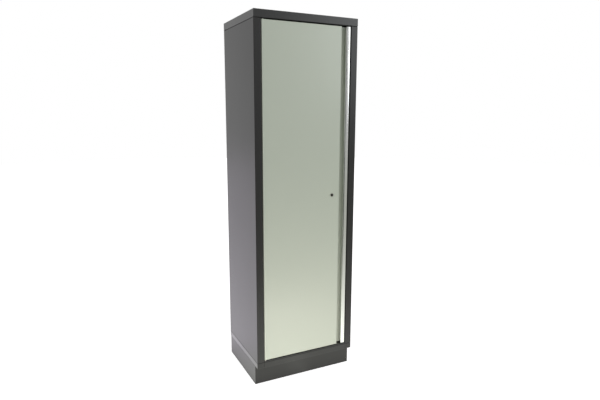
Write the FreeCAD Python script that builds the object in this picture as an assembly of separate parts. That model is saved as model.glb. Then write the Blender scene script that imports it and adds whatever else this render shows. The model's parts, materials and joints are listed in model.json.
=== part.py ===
import FreeCAD, Part
import math
import os

# Tall single-door tool locker in folded sheet steel, with a full-height aluminium pull on the door and a
# two-point rod lock. Millimetres. X runs across the front, Y from front to back, Z up. The origin is on the
# floor under the middle of the locker. Piece names that start with a side are seen from the front.

Vector = FreeCAD.Vector

# ---- driving sizes -----------------------------------------------------------------------------------

WIDTH = 600.0
DEPTH = 470.0
HEIGHT = 2000.0

SHEET = 1.0                     # carcass and door sheet
BEND = 2.0                      # outer radius of a fold
SEAM = 0.3                      # open line between two fitted sheets
CAP_SEAM = 1.6                  # shadow line between the cap and the sides
TRAY_SEAM = 1.2                 # shadow line between the sides and the bottom tray
FIT = 0.05                      # radial clearance of a pin or a screw in its hole

CAP_FLANGE = 40.0
CAP_UPSTAND = 14.0              # fold behind the head of the door opening
RELIEF_WIDTH = 8.0              # corner relief in the cap's side flange
RELIEF_HEIGHT = 4.0
RELIEF_INSET = 28.0             # from the carcass rear
LAP_STEP = 2.0                  # a side sheet steps in this far behind the cap's and the tray's flanges
LAP_DEPTH = 26.0                # the stepped edge reaches this far past a seam
LAP_INSET = 12.0                # and stays this far from the corners
HEM = 8.0                       # edge of a side flange folded back on itself

STILE = 40.0
STOP_FLANGE = 12.0
STOP_GAP = 2.0                  # door back to stop flange
REAR_RETURN = 22.0
CORNER_KEEP = 4.0               # side sheet left whole beside a vertical fold

SILL_HEIGHT = 38.0
SILL_DROP = 20.0
TRAY_FLANGE = 31.0

PLINTH_HEIGHT = 107.0
PLINTH_FRONT_INSET = 35.0
PLINTH_BACK_INSET = 10.0
PLINTH_FLANGE = 25.0

BACK_SHEET = 0.8
BEAD_WIDTH = 30.0
BEAD_DEPTH = 5.0
BEAD_PITCH = 150.0
WALL_HOLE_RADIUS = 4.0
WALL_HOLE_SPACING = 400.0
WALL_HOLE_DROP = 100.0          # below the top

UPRIGHT_WIDTH = 25.0
UPRIGHT_DEPTH = 12.0
UPRIGHT_SHEET = 1.5
UPRIGHT_END_GAP = 26.3          # from the seams above and below
UPRIGHT_SETBACK = 65.0          # front uprights behind the front of the carcass
UPRIGHT_REAR_SETBACK = 45.0     # rear uprights from the carcass rear
SLOT_PITCH = 87.5
SLOT_HEIGHT = 5.0
SLOT_WIDTH = 12.0
SLOT_MARGIN = 35.0              # first slot above the foot of the upright

SHELF_COUNT = 4
SHELF_LIP = 25.0
SHELF_SAFE_EDGE = 10.0
SHELF_SIDE_GAP = 3.0
SHELF_SETBACK = 60.0            # shelf front behind the carcass front
SHELF_BACK_GAP = 4.0
STIFFENER_WIDTH = 60.0
STIFFENER_DEPTH = 15.0
STIFFENER_INSET = 12.0          # from the shelf's side lips
CLIP_SHEET = 2.0
CLIP_WIDTH = 10.0
CLIP_REACH = 22.0
CLIP_DROP = 18.0
CLIP_HOOK = 8.0

DOOR_RECESS = 1.5               # door face behind the carcass front
DOOR_THICKNESS = 28.0
DOOR_RETURN = 15.0
HINGE_GAP = 3.5
PULL_GAP = 4.5
HEAD_GAP = 6.0
SILL_GAP = 5.0
LINER_OVERLAP = 1.5             # liner edge inside the skin's outer face
LOCK_CHANNEL = 79.0             # open channel in the door's back, beside the pull
CORNER_PLATE = 2.0
CORNER_PLATE_LENGTH = 70.0
DOOR_STIFFENER_WIDTH = 90.0
DOOR_STIFFENER_FLANGE = 20.0
DOOR_STIFFENER_MARGIN = 60.0

PULL_WIDTH = 55.5
PULL_WALL = 1.8
PULL_LIP = 25.0
PULL_LIP_RADIUS = 6.0
PULL_CORNER = 2.5
PULL_LIP_TURN = 7.0
PULL_REVEAL = 1.0               # pull's fixing wall behind the skin's face
PULL_RIB_COUNT = 4
PULL_RIB_WIDTH = 1.2
PULL_RIB_DEPTH = 0.6
PULL_RIB_FIRST = 12.0
PULL_RIB_PITCH = 8.0

PIVOT_INSET_X = 7.0
PIVOT_INSET_Y = 6.0
PIVOT_RADIUS = 2.5
PIVOT_STUB = 1.5                # hinge pin past the sheet it is pressed into
PIVOT_ENGAGEMENT = 12.0
BUSH_RADIUS = 4.0
BUSH_FLANGE_RADIUS = 5.5
BUSH_FLANGE = 1.0
BUSH_RUNNING_GAP = 0.2
BRACKET_SHEET = 2.5
BRACKET_LENGTH = 38.0
BRACKET_CORNER = 4.0

LOCK_INSET = 45.0               # lock centre from the panel's pull edge
LOCK_HEIGHT = 1050.0
LOCK_RIM_RADIUS = 11.0
LOCK_RIM_BEVEL = 0.7
LOCK_BODY_RADIUS = 9.5
LOCK_BODY_LENGTH = 19.0
LOCK_FLATS = 17.0
LOCK_PLUG_RADIUS = 7.5
LOCK_PLUG_RECESS = 0.4
LOCK_PLUG_STANDOFF = 0.5
LOCK_NUT_ACROSS = 25.0
LOCK_NUT_HEIGHT = 4.5
KEYWAY_WIDTH = 1.6
KEYWAY_HEIGHT = 8.0
KEYWAY_DEPTH = 6.0
SPIGOT_ACROSS = 6.0

CRANK_RADIUS = 14.0
CRANK_WIDTH = 12.0
CRANK_SHEET = 2.5
CRANK_PIN_RADIUS = 2.5
CRANK_PIN_LENGTH = 4.6
CRANK_SCREW_ACROSS = 5.5
CRANK_SCREW_HEAD = 2.4
CRANK_THREAD_RADIUS = 1.5
CRANK_SCREW_LENGTH = 7.0
SPIGOT_FIT = 0.1
LOCK_TURN = 90.0                # degrees

ROD_WIDTH = 15.0
ROD_SHEET = 3.0
ROD_STANDOFF = 0.5              # crank to rod
ROD_SLOT_CLEARANCE = 0.6
ROD_TAIL = 8.0                  # rod past the middle of its slot
ROD_SHORT = 1.0                 # rod end inside the door's edge when withdrawn
ROD_CLEARANCE = 0.4
ROD_GUIDE_CLEARANCE = 0.1
ROD_TIP_CORNER = 4.0
GUIDE_WIDTH = 26.0
GUIDE_HEIGHT = 14.0
GUIDE_NEAR = 250.0              # from the lock
GUIDE_FAR = 120.0               # from the door's end
KEEPER_FLANGE = 3.0
KEEPER_WALL = 1.5
KEEPER_DEPTH = 5.0
KEEPER_CLEARANCE = 1.0

CATCH_WIDTH = 23.5
CATCH_HEIGHT = 40.0
CATCH_DEPTH = 17.0
CATCH_EAR = 3.0
CATCH_GAP = 0.3
CATCH_INSET = 0.5               # housing to the stop flange's edge
CATCH_MARGIN = 70.0             # catch centre from the ends of the opening
MAGNET_WIDTH = 15.0
MAGNET_HEIGHT = 30.0
MAGNET_DEPTH = 6.0
STRIKE_SHEET = 1.5
STRIKE_WIDTH = 19.0
STRIKE_HEIGHT = 36.0

BUFFER_WIDTH = 9.0
BUFFER_LENGTH = 18.0
BUFFER_GAP = 0.3
BUFFER_POSITIONS = (0.15, 0.5, 0.85)


# ---- planes worked out from the sizes ----------------------------------------------------------------

SIDE = WIDTH / 2
FRONT = -DEPTH / 2
REAR = DEPTH / 2
OPENING = SIDE - STILE
BODY_BOTTOM = PLINTH_HEIGHT
TRAY_TOP = BODY_BOTTOM + SHEET
SILL_TOP = BODY_BOTTOM + SILL_HEIGHT
BODY_TOP = HEIGHT - CAP_FLANGE

DOOR_FRONT = FRONT + DOOR_RECESS
DOOR_REAR = DOOR_FRONT + DOOR_THICKNESS
STOP_FACE = DOOR_REAR + STOP_GAP
DOOR_LEFT = -OPENING + HINGE_GAP
DOOR_RIGHT = OPENING - PULL_GAP
PANEL_RIGHT = DOOR_RIGHT - PULL_WIDTH
DOOR_BOTTOM = SILL_TOP + SILL_GAP
DOOR_TOP = BODY_TOP - HEAD_GAP
SKIN_REAR = DOOR_REAR - SHEET
SKIN_INSIDE = DOOR_FRONT + SHEET
CHANNEL_LEFT = PANEL_RIGHT - LOCK_CHANNEL

PIVOT_X = DOOR_LEFT + PIVOT_INSET_X
PIVOT_Y = DOOR_FRONT + PIVOT_INSET_Y

LOCK_X = PANEL_RIGHT - LOCK_INSET
LOCK_REAR = DOOR_FRONT + LOCK_BODY_LENGTH
CRANK_FRONT = LOCK_REAR + LOCK_PLUG_STANDOFF
CRANK_REAR = CRANK_FRONT + CRANK_SHEET
ROD_FRONT = CRANK_REAR + ROD_STANDOFF
ROD_REAR = ROD_FRONT + ROD_SHEET
HALF_TURN = math.radians(LOCK_TURN / 2)
PIN_SIDE = CRANK_RADIUS * math.cos(HALF_TURN)
PIN_RISE = CRANK_RADIUS * math.sin(HALF_TURN)
ROD_OFFSET = (CRANK_RADIUS + PIN_SIDE) / 2

LINING = SIDE - LAP_STEP - SHEET - SEAM     # inside of a side sheet's stepped edge
BACK_FACE = REAR - SHEET            # outer face of the back panel
BACK_INSIDE = BACK_FACE - BACK_SHEET - BEAD_DEPTH
UPRIGHT_FACE = SIDE - SHEET - UPRIGHT_DEPTH
UPRIGHT_Y = (FRONT + UPRIGHT_SETBACK, REAR - UPRIGHT_REAR_SETBACK)
TRAY_EDGE = BODY_BOTTOM + TRAY_FLANGE
UPRIGHT_BOTTOM = TRAY_EDGE + UPRIGHT_END_GAP
UPRIGHT_TOP = BODY_TOP - UPRIGHT_END_GAP
SLOT_COUNT = int((UPRIGHT_TOP - UPRIGHT_BOTTOM - 2 * SLOT_MARGIN) // SLOT_PITCH) + 1
SHELF_SIDE = UPRIGHT_FACE - SHELF_SIDE_GAP
SHELF_FRONT = FRONT + SHELF_SETBACK
SHELF_REAR = BACK_INSIDE - SHELF_BACK_GAP
PLINTH_FRONT = FRONT + PLINTH_FRONT_INSET
PLINTH_REAR = REAR - PLINTH_BACK_INSET
CATCH_HEIGHTS = (DOOR_BOTTOM + CATCH_MARGIN, DOOR_TOP - CATCH_MARGIN)
CATCH_RIGHT = OPENING - STOP_FLANGE - CATCH_INSET
CATCH_FRONT = DOOR_REAR + STRIKE_SHEET + CATCH_GAP
CATCH_X = CATCH_RIGHT - CATCH_WIDTH / 2
BUFFER_HEIGHTS = [DOOR_BOTTOM + (DOOR_TOP - DOOR_BOTTOM) * share for share in BUFFER_POSITIONS]


# ---- shape helpers -----------------------------------------------------------------------------------

def box(x, y, z):
    """A block from three (low, high) pairs."""
    return Part.makeBox(x[1] - x[0], y[1] - y[0], z[1] - z[0], Vector(x[0], y[0], z[0]))


def around(middle, width):
    """A (low, high) pair of one width about its middle."""
    return middle - width / 2, middle + width / 2


def both(half):
    """A (low, high) pair about zero."""
    return -half, half


def pin(radius, start, end):
    """A cylinder from one point to another."""
    axis = Vector(*end) - Vector(*start)
    return Part.makeCylinder(radius, axis.Length, Vector(*start), axis)


def hexagon(across, start, end):
    """A hexagonal prism from one point to another."""
    axis = Vector(*end) - Vector(*start)
    corner = across / math.sqrt(3)
    turns = [math.radians(60 * i) for i in range(7)]
    outline = Part.makePolygon([Vector(corner * math.cos(a), corner * math.sin(a), 0) for a in turns])
    prism = Part.Face(outline).extrude(Vector(0, 0, axis.Length))
    prism.Placement = FreeCAD.Placement(Vector(*start), FreeCAD.Rotation(Vector(0, 0, 1), axis))
    return prism


def join(shapes):
    """One solid from several that meet."""
    return shapes[0].fuse(shapes[1:]).removeSplitter()


def group(shapes):
    """Separate solids kept together as one node."""
    return Part.makeCompound(shapes)


def mirrored(shape):
    """The other hand, across the locker's middle plane."""
    return shape.mirror(Vector(0, 0, 0), Vector(1, 0, 0))


def rounded_wire(points, radii, place):
    """A closed outline through 2-D points, each corner rounded by its own radius."""
    corners = []
    for i, point in enumerate(points):
        here = Vector(*point, 0)
        if radii[i] <= 0:
            corners.append((here, None, here))
            continue
        back = Vector(*points[i - 1], 0) - here
        ahead = Vector(*points[(i + 1) % len(points)], 0) - here
        back.normalize()
        ahead.normalize()
        half = back.getAngle(ahead) / 2
        reach = radii[i] / math.tan(half)
        inward = back + ahead
        inward.normalize()
        crest = here + inward * (radii[i] / math.sin(half) - radii[i])
        corners.append((here + back * reach, crest, here + ahead * reach))
    edges = []
    for i, (start, crest, end) in enumerate(corners):
        if crest is not None:
            edges.append(Part.Arc(place(start), place(crest), place(end)).toShape())
        following = corners[(i + 1) % len(corners)][0]
        if (following - end).Length > 1e-6:
            edges.append(Part.LineSegment(place(end), place(following)).toShape())
    return Part.Wire(edges)


def sweep(points, radii, plane, low, high):
    """A rounded outline in the "xy", "yz" or "xz" plane, carried from low to high across it."""
    places = {
        "xy": (lambda p: Vector(p.x, p.y, low), Vector(0, 0, high - low)),
        "yz": (lambda p: Vector(low, p.x, p.y), Vector(high - low, 0, 0)),
        "xz": (lambda p: Vector(p.x, low, p.y), Vector(0, high - low, 0)),
    }
    place, travel = places[plane]
    return Part.Face(rounded_wire(points, radii, place)).extrude(travel)


def folded(points, thickness, radii, plane, low, high):
    """A sheet folded along points, with its thickness to their left.

    radii holds the outer radius of each fold, or one number for all of them.
    """
    if not isinstance(radii, (list, tuple)):
        radii = [radii] * (len(points) - 2)
    normals = []
    for (u0, v0), (u1, v1) in zip(points, points[1:]):
        length = math.hypot(u1 - u0, v1 - v0)
        normals.append(((v0 - v1) / length, (u1 - u0) / length))
    far = [(points[0][0] + normals[0][0] * thickness, points[0][1] + normals[0][1] * thickness)]
    near_radii = [0]
    far_radii = [0]
    for (u, v), first, second, radius in zip(points[1:-1], normals, normals[1:], radii):
        scale = thickness / (1 + first[0] * second[0] + first[1] * second[1])
        far.append((u + (first[0] + second[0]) * scale, v + (first[1] + second[1]) * scale))
        turns_left = first[0] * second[1] > first[1] * second[0]
        near_radii.append(radius if turns_left else radius - thickness)
        far_radii.append(radius - thickness if turns_left else radius)
    far.append((points[-1][0] + normals[-1][0] * thickness, points[-1][1] + normals[-1][1] * thickness))
    outline = list(points) + far[::-1]
    return sweep(outline, near_radii + [0] + [0] + far_radii[:0:-1] + [0], plane, low, high)


def soften(shape, radius, chosen):
    """The shape with the edges whose middles are chosen rounded."""
    return shape.makeFillet(radius, [edge for edge in shape.Edges if chosen(edge.CenterOfMass)])


def tray(x, y, z):
    """A sheet top with four flanges folded down and mitred, open underneath."""
    outer = soften(box(x, y, z), BEND, lambda middle: middle.z > z[1] - SHEET)
    hollow = box((x[0] + SHEET, x[1] - SHEET), (y[0] + SHEET, y[1] - SHEET), (z[0] - BEND, z[1] - SHEET))
    return outer.cut(soften(hollow, BEND - SHEET, lambda middle: middle.z > z[1] - 2 * SHEET))


def plate(x, y, z, radius):
    """A flat plate in the XY plane with rounded corners."""
    points = [(x[0], y[0]), (x[1], y[0]), (x[1], y[1]), (x[0], y[1])]
    return sweep(points, [radius] * 4, "xy", *z)


def slotted(centre, reach, radius, y):
    """A slot-shaped bar along X, swept over the (low, high) pair y: reach is to each end's centre."""
    x, z = centre
    points = [(x - reach - radius, z - radius), (x + reach + radius, z - radius),
              (x + reach + radius, z + radius), (x - reach - radius, z + radius)]
    return sweep(points, [radius] * 4, "xz", *y)


# ---- where things are fixed --------------------------------------------------------------------------

def rod_centre(upper):
    """X of the upper or the lower rod."""
    return LOCK_X + ROD_OFFSET if upper else LOCK_X - ROD_OFFSET


def rod_passage(upper, clearance, z):
    """The space a rod needs with a clearance all round."""
    x = around(rod_centre(upper), ROD_WIDTH + 2 * clearance)
    return box(x, (ROD_FRONT - clearance, ROD_REAR + clearance), z)


def pivot(radius, z):
    """A cylinder on the hinge axis over the (low, high) pair z."""
    return pin(radius, (PIVOT_X, PIVOT_Y, z[0]), (PIVOT_X, PIVOT_Y, z[1]))


def slot_heights():
    """Middle height of every slot in an upright."""
    return [UPRIGHT_BOTTOM + SLOT_MARGIN + SLOT_PITCH * i for i in range(SLOT_COUNT)]


def shelf_slots():
    """Middle heights of the slots that carry the shelves."""
    heights = slot_heights()
    return [heights[round(SLOT_COUNT * (i + 1) / (SHELF_COUNT + 1))] for i in range(SHELF_COUNT)]


# ---- carcass -----------------------------------------------------------------------------------------

def flange_backs():
    """The (low, high) pairs of X just inside the two side flanges of the cap or the tray."""
    return (-SIDE + SHEET, -SIDE + LAP_STEP), (SIDE - LAP_STEP, SIDE - SHEET)


def top_cap():
    shell = tray(both(SIDE), (FRONT, REAR), (BODY_TOP, HEIGHT))
    shell = shell.cut(box(both(LINING), (FRONT - SHEET, FRONT + BEND), (BODY_TOP - SHEET, BODY_TOP + BEND)))
    path = [(FRONT, BODY_TOP + 2 * BEND), (FRONT, BODY_TOP), (STOP_FACE, BODY_TOP),
            (STOP_FACE, BODY_TOP + CAP_UPSTAND)]
    head = folded(path, SHEET, BEND, "yz", *both(LINING))
    hem_y = (FRONT + LAP_INSET, REAR - LAP_INSET)
    hems = [box(x, hem_y, (BODY_TOP, BODY_TOP + HEM)) for x in flange_backs()]
    relief = (REAR - RELIEF_INSET - RELIEF_WIDTH, REAR - RELIEF_INSET)
    through_head = (BODY_TOP - SHEET, BODY_TOP + 2 * SHEET)
    cuts = [
        box(both(SIDE + SHEET), relief, (BODY_TOP - SHEET, BODY_TOP + RELIEF_HEIGHT)),
        pivot(PIVOT_RADIUS, through_head),
        rod_passage(True, KEEPER_CLEARANCE + KEEPER_WALL, through_head),
    ]
    return join([shell, head] + hems).cut(cuts)


def left_side_panel():
    path = [(-SIDE + REAR_RETURN, REAR), (-SIDE, REAR), (-SIDE, FRONT), (-OPENING, FRONT),
            (-OPENING, STOP_FACE), (-OPENING + STOP_FLANGE, STOP_FACE)]
    top = BODY_TOP - CAP_SEAM
    foot = TRAY_EDGE + TRAY_SEAM
    sheet = folded(path, SHEET, BEND, "xy", TRAY_TOP, top)
    window = box((-SIDE - SHEET, -SIDE + SHEET), (FRONT + CORNER_KEEP, REAR - CORNER_KEEP),
                 (BODY_BOTTOM, foot))
    lap_y = (FRONT + LAP_INSET, REAR - LAP_INSET)
    steps = []
    for shoulder, end in ((top - SHEET, BODY_TOP + LAP_DEPTH), (foot + SHEET, BODY_BOTTOM + BEND + SEAM)):
        steps.append(box((-SIDE + LAP_STEP, -SIDE + LAP_STEP + SHEET), lap_y, sorted((shoulder, end))))
    for low in (top - SHEET, foot):
        steps.append(box((-SIDE + SHEET / 2, -SIDE + LAP_STEP + SHEET), lap_y, (low, low + SHEET)))
    return join([sheet.cut(window)] + steps)


def right_side_panel():
    return mirrored(left_side_panel())


def back_panel():
    path = [(LINING, BACK_FACE)]
    for middle in (BEAD_PITCH, 0, -BEAD_PITCH):
        high = middle + BEAD_WIDTH / 2
        low = middle - BEAD_WIDTH / 2
        path += [(high, BACK_FACE), (high - BEAD_DEPTH, BACK_FACE - BEAD_DEPTH),
                 (low + BEAD_DEPTH, BACK_FACE - BEAD_DEPTH), (low, BACK_FACE)]
    path.append((-LINING, BACK_FACE))
    sheet = folded(path, BACK_SHEET, 0, "xy", BODY_BOTTOM + BEND + SEAM, HEIGHT - SHEET - BEND)
    hole_z = HEIGHT - WALL_HOLE_DROP
    return sheet.cut([pin(WALL_HOLE_RADIUS, (x, BACK_INSIDE, hole_z), (x, REAR, hole_z))
                      for x in both(WALL_HOLE_SPACING / 2)])


def bottom_tray():
    side_path = [(-SIDE, TRAY_EDGE), (-SIDE, BODY_BOTTOM), (SIDE, BODY_BOTTOM), (SIDE, TRAY_EDGE)]
    inset = CORNER_KEEP + SEAM
    sides = folded(side_path, SHEET, BEND, "xz", FRONT + inset, REAR - inset)
    rear_path = [(REAR - TRAY_FLANGE, BODY_BOTTOM), (REAR, BODY_BOTTOM), (REAR, TRAY_EDGE)]
    rear_x = both(SIDE - REAR_RETURN - SEAM)
    rear = folded(rear_path, SHEET, BEND, "yz", *rear_x)
    base = plate(both(SIDE), (FRONT, REAR), (BODY_BOTTOM, TRAY_TOP), BEND)
    folds = [box(both(SIDE + SHEET), (FRONT + inset, REAR - inset), (BODY_BOTTOM, TRAY_TOP)),
             box(rear_x, (REAR - TRAY_FLANGE, REAR), (BODY_BOTTOM, TRAY_TOP))]
    hem_y = (FRONT + LAP_INSET, REAR - LAP_INSET)
    hems = [box(x, hem_y, (TRAY_EDGE - HEM, TRAY_EDGE)) for x in flange_backs()]
    return join([sides, base.cut(folds), rear] + hems)


def sill_rail():
    path = [(STOP_FACE, SILL_TOP - SILL_DROP), (STOP_FACE, SILL_TOP), (FRONT, SILL_TOP), (FRONT, TRAY_TOP)]
    rail = folded(path, SHEET, BEND, "yz", *both(OPENING - SEAM))
    through = (SILL_TOP - 2 * SHEET, SILL_TOP + SHEET)
    cuts = [pivot(PIVOT_RADIUS, through), rod_passage(False, KEEPER_CLEARANCE + KEEPER_WALL, through)]
    for x in ((OPENING - SEAM - SHEET, OPENING), (-OPENING, -OPENING + SEAM + SHEET)):
        cuts.append(box(x, (STOP_FACE - SHEET - SEAM, STOP_FACE + SHEET), (TRAY_TOP, SILL_TOP + SHEET)))
    return rail.cut(cuts)


def floor_panel():
    rear = BACK_INSIDE - SEAM
    front = STOP_FACE + SHEET + SEAM
    path = [(rear, TRAY_TOP), (rear, SILL_TOP), (front, SILL_TOP), (front, TRAY_TOP)]
    return folded(path, SHEET, BEND, "yz", *both(LINING - SEAM))


def plinth_skirt():
    outer = box(both(SIDE), (PLINTH_FRONT, PLINTH_REAR), (0, PLINTH_HEIGHT))
    outer = soften(outer, BEND, lambda middle: middle.y == PLINTH_FRONT and abs(middle.x) > SIDE / 2)
    hollow = box(both(SIDE - SHEET), (PLINTH_FRONT + SHEET, PLINTH_REAR + SHEET),
                 (SHEET, PLINTH_HEIGHT - SHEET))
    middle = box(both(SIDE - PLINTH_FLANGE), (PLINTH_FRONT + PLINTH_FLANGE, PLINTH_REAR + SHEET),
                 (-SHEET, PLINTH_HEIGHT + SHEET))
    return outer.cut([hollow, middle])


def plinth_back():
    front = PLINTH_REAR - PLINTH_FLANGE
    high = PLINTH_HEIGHT - SHEET
    path = [(front, SHEET), (PLINTH_REAR, SHEET), (PLINTH_REAR, high), (front, high)]
    return folded(path, SHEET, 0, "yz", *both(SIDE - SHEET))


# ---- shelving ----------------------------------------------------------------------------------------

def upright(side, y):
    """A slotted channel standing on one side sheet, left (-1) or right (1)."""
    wall = -SIDE + SHEET
    low, high = around(y, UPRIGHT_WIDTH)
    path = [(wall, low), (-UPRIGHT_FACE, low), (-UPRIGHT_FACE, high), (wall, high)]
    channel = folded(path, UPRIGHT_SHEET, 0, "xy", UPRIGHT_BOTTOM, UPRIGHT_TOP)
    depth = (-UPRIGHT_FACE - 2 * UPRIGHT_SHEET, -UPRIGHT_FACE + UPRIGHT_SHEET)
    slots = [box(depth, around(y, SLOT_WIDTH), around(z, SLOT_HEIGHT)) for z in slot_heights()]
    slotted_channel = channel.cut(group(slots))
    return slotted_channel if side < 0 else mirrored(slotted_channel)


def shelf(slot):
    """A shelf carried at one slot height: folded lips all round and a safe edge at the front."""
    low = slot - SLOT_HEIGHT / 2 + CLIP_SHEET
    high = low + SHELF_LIP
    path = [(SHELF_REAR, low), (SHELF_REAR, high), (SHELF_FRONT, high), (SHELF_FRONT, low),
            (SHELF_FRONT + SHELF_SAFE_EDGE, low)]
    lip_y = (SHELF_FRONT + 2 * BEND, SHELF_REAR - 2 * BEND)
    lips = [box(x, lip_y, (low, high - SHEET / 2))
            for x in ((-SHELF_SIDE, -SHELF_SIDE + SHEET), (SHELF_SIDE - SHEET, SHELF_SIDE))]
    return join([folded(path, SHEET, BEND, "yz", *both(SHELF_SIDE))] + lips)


def shelf_stiffeners():
    middle = (SHELF_FRONT + SHELF_REAR) / 2
    half = STIFFENER_WIDTH / 2
    crown = half * 0.6
    hats = []
    for slot in shelf_slots():
        under = slot - SLOT_HEIGHT / 2 + CLIP_SHEET + SHELF_LIP - 2 * SHEET
        path = [(middle - half, under), (middle - crown, under), (middle - crown, under - STIFFENER_DEPTH),
                (middle + crown, under - STIFFENER_DEPTH), (middle + crown, under), (middle + half, under)]
        reach = SHELF_SIDE - STIFFENER_INSET
        hats.append(folded(path, SHEET, 0, "yz", *both(reach)))
    return group(hats)


def clip(side, y, slot):
    """A hook through one slot, with a tab under the shelf's lip."""
    foot = slot - SLOT_HEIGHT / 2
    face = -UPRIGHT_FACE
    behind = face - UPRIGHT_SHEET - SEAM
    top = foot + CLIP_SHEET
    outline = [(behind - CLIP_SHEET, foot), (face, foot), (face, foot - CLIP_DROP),
               (face + CLIP_SHEET, foot - CLIP_DROP), (face + CLIP_SHEET, foot), (face + CLIP_REACH, foot),
               (face + CLIP_REACH, top), (behind, top), (behind, foot + CLIP_HOOK),
               (behind - CLIP_SHEET, foot + CLIP_HOOK)]
    hook = sweep(outline, [0] * len(outline), "xz", *around(y, CLIP_WIDTH))
    return hook if side < 0 else mirrored(hook)


def shelf_clips():
    return group([clip(side, y, slot) for slot in shelf_slots() for side in (-1, 1) for y in UPRIGHT_Y])


# ---- hinge, catches and keepers, all fixed to the carcass --------------------------------------------


def hinge_bracket(z):
    """A plate fixed to the head or the sill that carries a hinge pin, over the (low, high) pair z."""
    left = -OPENING + SEAM
    front = DOOR_FRONT + SEAM
    rear = STOP_FACE - 2 * SEAM
    points = [(left, front), (left + BRACKET_LENGTH, front), (left + BRACKET_LENGTH, rear), (left, rear)]
    body = sweep(points, [BRACKET_CORNER, BRACKET_CORNER, 0, 0], "xy", *z)
    return body.cut(pivot(PIVOT_RADIUS, (z[0] - SHEET, z[1] + SHEET)))


def upper_hinge_bracket():
    return hinge_bracket((BODY_TOP - BRACKET_SHEET, BODY_TOP))


def lower_hinge_bracket():
    return hinge_bracket((SILL_TOP, SILL_TOP + BRACKET_SHEET))


def upper_hinge_pin():
    return pivot(PIVOT_RADIUS, (DOOR_TOP - PIVOT_ENGAGEMENT, BODY_TOP + SHEET + PIVOT_STUB))


def lower_hinge_pin():
    return pivot(PIVOT_RADIUS, (SILL_TOP - SHEET - PIVOT_STUB, DOOR_BOTTOM + PIVOT_ENGAGEMENT))


def thrust_washer():
    z = (SILL_TOP + BRACKET_SHEET, DOOR_BOTTOM - BUSH_FLANGE - BUSH_RUNNING_GAP)
    return pivot(BUSH_FLANGE_RADIUS, z).cut(pivot(PIVOT_RADIUS + FIT, (z[0] - 1, z[1] + 1)))


def rod_keepers():
    """Plastic inserts in the head and the sill that take the rod ends when the lock is turned."""
    keepers = []
    for upper, seat, way in ((True, BODY_TOP, 1), (False, SILL_TOP, -1)):
        collar = sorted((seat, seat + way * (SHEET + KEEPER_DEPTH)))
        flange = sorted((seat + way * SHEET, seat + way * (SHEET + KEEPER_WALL)))
        body = rod_passage(upper, KEEPER_CLEARANCE + KEEPER_WALL - FIT, collar)
        reach = KEEPER_CLEARANCE + KEEPER_WALL
        wings = box(around(rod_centre(upper), ROD_WIDTH + 2 * (reach + KEEPER_FLANGE)),
                    (ROD_FRONT - reach + FIT, ROD_REAR + reach - FIT), flange)
        mouth = rod_passage(upper, KEEPER_CLEARANCE, (collar[0] - 1, collar[1] + 1))
        keepers.append(join([body, wings]).cut(mouth))
    return group(keepers)


def catch_housings():
    housings = []
    for z in CATCH_HEIGHTS:
        tall = around(z, CATCH_HEIGHT)
        body = box((CATCH_RIGHT - CATCH_WIDTH, CATCH_RIGHT), (CATCH_FRONT, CATCH_FRONT + CATCH_DEPTH), tall)
        ear = box((CATCH_RIGHT - CATCH_WIDTH / 2, OPENING - SHEET - SEAM),
                  (STOP_FACE + SHEET, STOP_FACE + SHEET + CATCH_EAR), tall)
        pocket = box(around(CATCH_X, MAGNET_WIDTH), (CATCH_FRONT - SHEET, CATCH_FRONT + MAGNET_DEPTH),
                     around(z, MAGNET_HEIGHT))
        housings.append(join([body, ear]).cut(pocket))
    return group(housings)


def catch_magnets():
    x = around(CATCH_X, MAGNET_WIDTH - 2 * FIT)
    y = (CATCH_FRONT, CATCH_FRONT + MAGNET_DEPTH)
    return group([box(x, y, around(z, MAGNET_HEIGHT - 2 * FIT)) for z in CATCH_HEIGHTS])


def door_buffers():
    x = around(OPENING - STOP_FLANGE / 2, BUFFER_WIDTH)
    y = (DOOR_REAR + BUFFER_GAP, STOP_FACE)
    return group([box(x, y, around(z, BUFFER_LENGTH)) for z in BUFFER_HEIGHTS])


# ---- door --------------------------------------------------------------------------------------------

def lock_body(clearance, y):
    """The lock's barrel with its two flats, over the (low, high) pair y."""
    barrel = pin(LOCK_BODY_RADIUS + clearance, (LOCK_X, y[0], LOCK_HEIGHT), (LOCK_X, y[1], LOCK_HEIGHT))
    reach = LOCK_BODY_RADIUS * 2
    return barrel.common(box(around(LOCK_X, LOCK_FLATS + 2 * clearance), y, around(LOCK_HEIGHT, 2 * reach)))


def door_skin():
    x = (DOOR_LEFT, PANEL_RIGHT)
    y = (DOOR_FRONT, SKIN_REAR)
    z = (DOOR_BOTTOM, DOOR_TOP)
    half = (y[1] - y[0]) / 2
    outer = soften(box(x, y, z), BEND, lambda middle: abs(middle.y - y[0] - half) > SHEET)
    inner = box(*[(low + SHEET, high - SHEET) for low, high in (x, y, z)])
    inner = soften(inner, BEND - SHEET, lambda middle: abs(middle.y - y[0] - half) > SHEET)
    window = box((x[0] + DOOR_RETURN, x[1] - DOOR_RETURN), (y[1] - 2 * SHEET, y[1] + SHEET),
                 (z[0] + DOOR_RETURN, z[1] - DOOR_RETURN))
    cuts = [inner, window, lock_body(FIT, (DOOR_FRONT - SHEET, SKIN_INSIDE + SHEET))]
    for upper, flange in ((True, z[1] - SHEET), (False, z[0])):
        through = (flange - SHEET, flange + 2 * SHEET)
        cuts += [rod_passage(upper, ROD_CLEARANCE, through), pivot(BUSH_RADIUS + FIT, through)]
    return outer.cut(cuts)


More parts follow.
